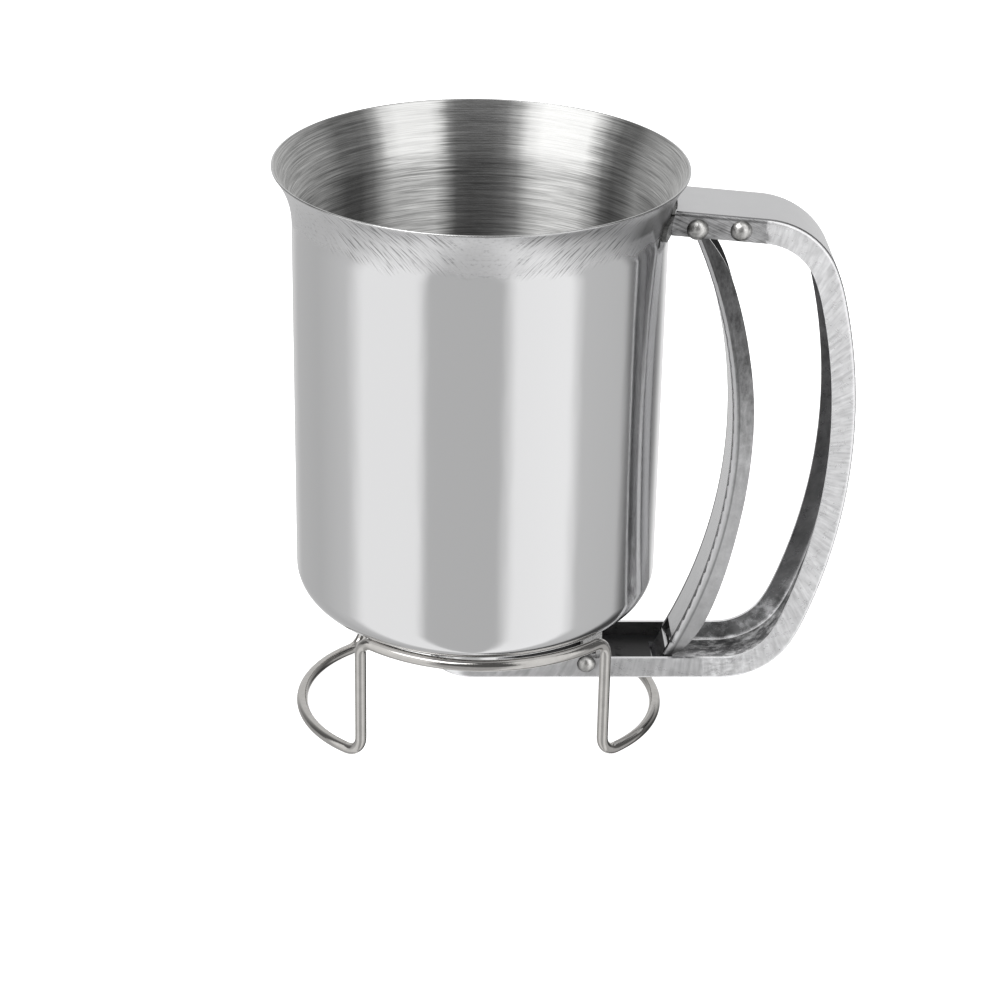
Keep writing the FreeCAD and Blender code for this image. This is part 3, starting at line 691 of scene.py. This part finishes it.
def build_cup():
    outer, lip, inner = cup_face(0.0), lip_round(), cup_face(-SHEET)
    # the last segment closes the profile at the bore
    segments = [OUTSIDE] * (len(outer) - 1) + [LIP] * (len(lip) + 1) + [INSIDE] * len(inner)
    cup = revolve("cup_shell", outer + lip + inner[::-1], segments, CUP_MATERIALS, steps=384)
    mark_sharp(cup, degrees=50)
    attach(cup, "dispenser")
    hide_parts("cup_body")


build_cup()


# ------------------------------------------------------------------ floor
def floor_pale():
    s = Surface("floor_pale")
    mottle = s.noise(s.object_place(), scale=40.0, detail=4.0, rough=0.6)
    s.set_grey(0.90 + mottle * 0.02)
    s.set("Roughness", 0.9)
    s.set("Emission Color", (1, 1, 1, 1))
    s.set("Emission Strength", 0.80)
    # seen from below the floor is clear, so that the underside can be looked at
    s.put(s.output.inputs[0], s.make("ShaderNodeMixShader", inputs={
        0: s.make("ShaderNodeNewGeometry", "Backfacing"),
        1: s.shader,
        2: s.make("ShaderNodeBsdfTransparent")}))
    return s.material


HALF_FLOOR = 30         # metres
floor = mesh_object(
    "floor", [(x * HALF_FLOOR, y * HALF_FLOOR, 0) for x, y in ((-1, -1), (1, -1), (1, 1), (-1, 1))],
    [(0, 1, 2, 3)], [floor_pale()], smooth=False)
floor.visible_glossy = False

# ------------------------------------------------------------------ world
# tall soft boxes and grey flats round the set, mirrored by the polished metal:
# (compass angle in degrees, brightness), below and above the horizon
LOW_FLATS = [
    (-178, 0.72), (-162, 0.66), (-150, 0.52), (-118, 0.50), (-90, 0.60), (-77, 0.93),
    (-39, 0.93), (-32, 0.52), (12, 0.515), (22, 0.95), (56, 0.99), (66, 0.58), (98, 0.55),
    (106, 0.20), (114, 0.06), (136, 0.07), (147, 0.42), (158, 0.85), (178, 0.88)]
HIGH_FLATS = [
    (-178, 0.76), (-150, 0.74), (-136, 0.35), (-112, 0.16), (-94, 0.12), (-86, 1.05),
    (-34, 1.05), (-27, 0.13), (20, 0.12), (27, 1.0), (66, 1.0), (74, 0.14), (110, 0.14),
    (132, 0.35), (148, 0.74), (178, 0.76)]
CEILING = (0.55, 0.55, 0.555, 1)
WHITE = (1, 1, 1, 1)


def build_world():
    """Plain white light, but glossy rays see the flats."""
    world = bpy.data.worlds.new("studio")
    bpy.context.scene.world = world
    world.use_nodes = True
    g = Graph(world.node_tree)
    x, y, z = g.split(g.make("ShaderNodeTexCoord", "Generated"))
    turn = g.compass(x, y) / (2 * math.pi) + 0.5
    low, high = g.compass_ramp(turn, LOW_FLATS), g.compass_ramp(turn, HIGH_FLATS)
    elevation = g.math("ARCSINE", z)
    above = g.rise(elevation, lo=math.radians(-12), hi=math.radians(2))
    overhead = g.rise(elevation, lo=math.radians(72), hi=math.radians(88))
    mirrored = g.mix_colour(overhead, g.mix_colour(above, low, high), CEILING)
    colour = g.mix_colour(g.make("ShaderNodeLightPath", "Is Glossy Ray"), WHITE, mirrored)
    background = g.make("ShaderNodeBackground", inputs={0: colour, 1: 1.0})
    g.put(g.tree.nodes.new("ShaderNodeOutputWorld").inputs[0], background)


build_world()

# ------------------------------------------------------------------ key light (metres)
KEY_PLACE = (-0.55, -0.6, 1.1)
KEY_AIM = (0.02, 0, 0.08)
light = bpy.data.lights.new("key", "AREA")
light.shape = "RECTANGLE"
light.size, light.size_y = 0.9, 0.7
light.energy = 6.0
key = link_object("key", light)
key.location = KEY_PLACE
key.rotation_euler = (Vector(KEY_AIM) - key.location).to_track_quat("-Z", "Y").to_euler()

# ------------------------------------------------------------------ camera
CAMERA_DISTANCE = 732.159           # mm from the point looked at
LOOK_AT = (6.314, 0, 61.367)        # mm
CAMERA_ELEVATION = math.radians(25.856)
CAMERA_COMPASS = math.radians(-2.3)
CAMERA_ROLL = math.radians(1.099)
SENSOR_WIDTH = 36.0
FOCAL_LENGTH = 99.62694


def build_camera():
    level = math.cos(CAMERA_ELEVATION)
    back = Vector((math.sin(CAMERA_COMPASS) * level, -math.cos(CAMERA_COMPASS) * level,
                   math.sin(CAMERA_ELEVATION)))
    right = Vector((math.cos(CAMERA_COMPASS), math.sin(CAMERA_COMPASS), 0))
    up = back.cross(right)
    rolled_right = right * math.cos(CAMERA_ROLL) + up * math.sin(CAMERA_ROLL)
    rolled_up = up * math.cos(CAMERA_ROLL) - right * math.sin(CAMERA_ROLL)
    pose = Matrix((rolled_right, rolled_up, back)).transposed().to_4x4()
    pose.translation = (Vector(LOOK_AT) + back * CAMERA_DISTANCE) * MM
    data = bpy.data.cameras.new("camera")
    camera = link_object("camera", data)
    camera.matrix_world = pose
    data.sensor_width = SENSOR_WIDTH
    data.lens = FOCAL_LENGTH
    data.clip_start, data.clip_end = 0.01, 100.0
    bpy.context.scene.camera = camera


build_camera()
bpy.context.scene.view_settings.view_transform = "Standard"
bpy.context.scene.view_settings.look = "None"
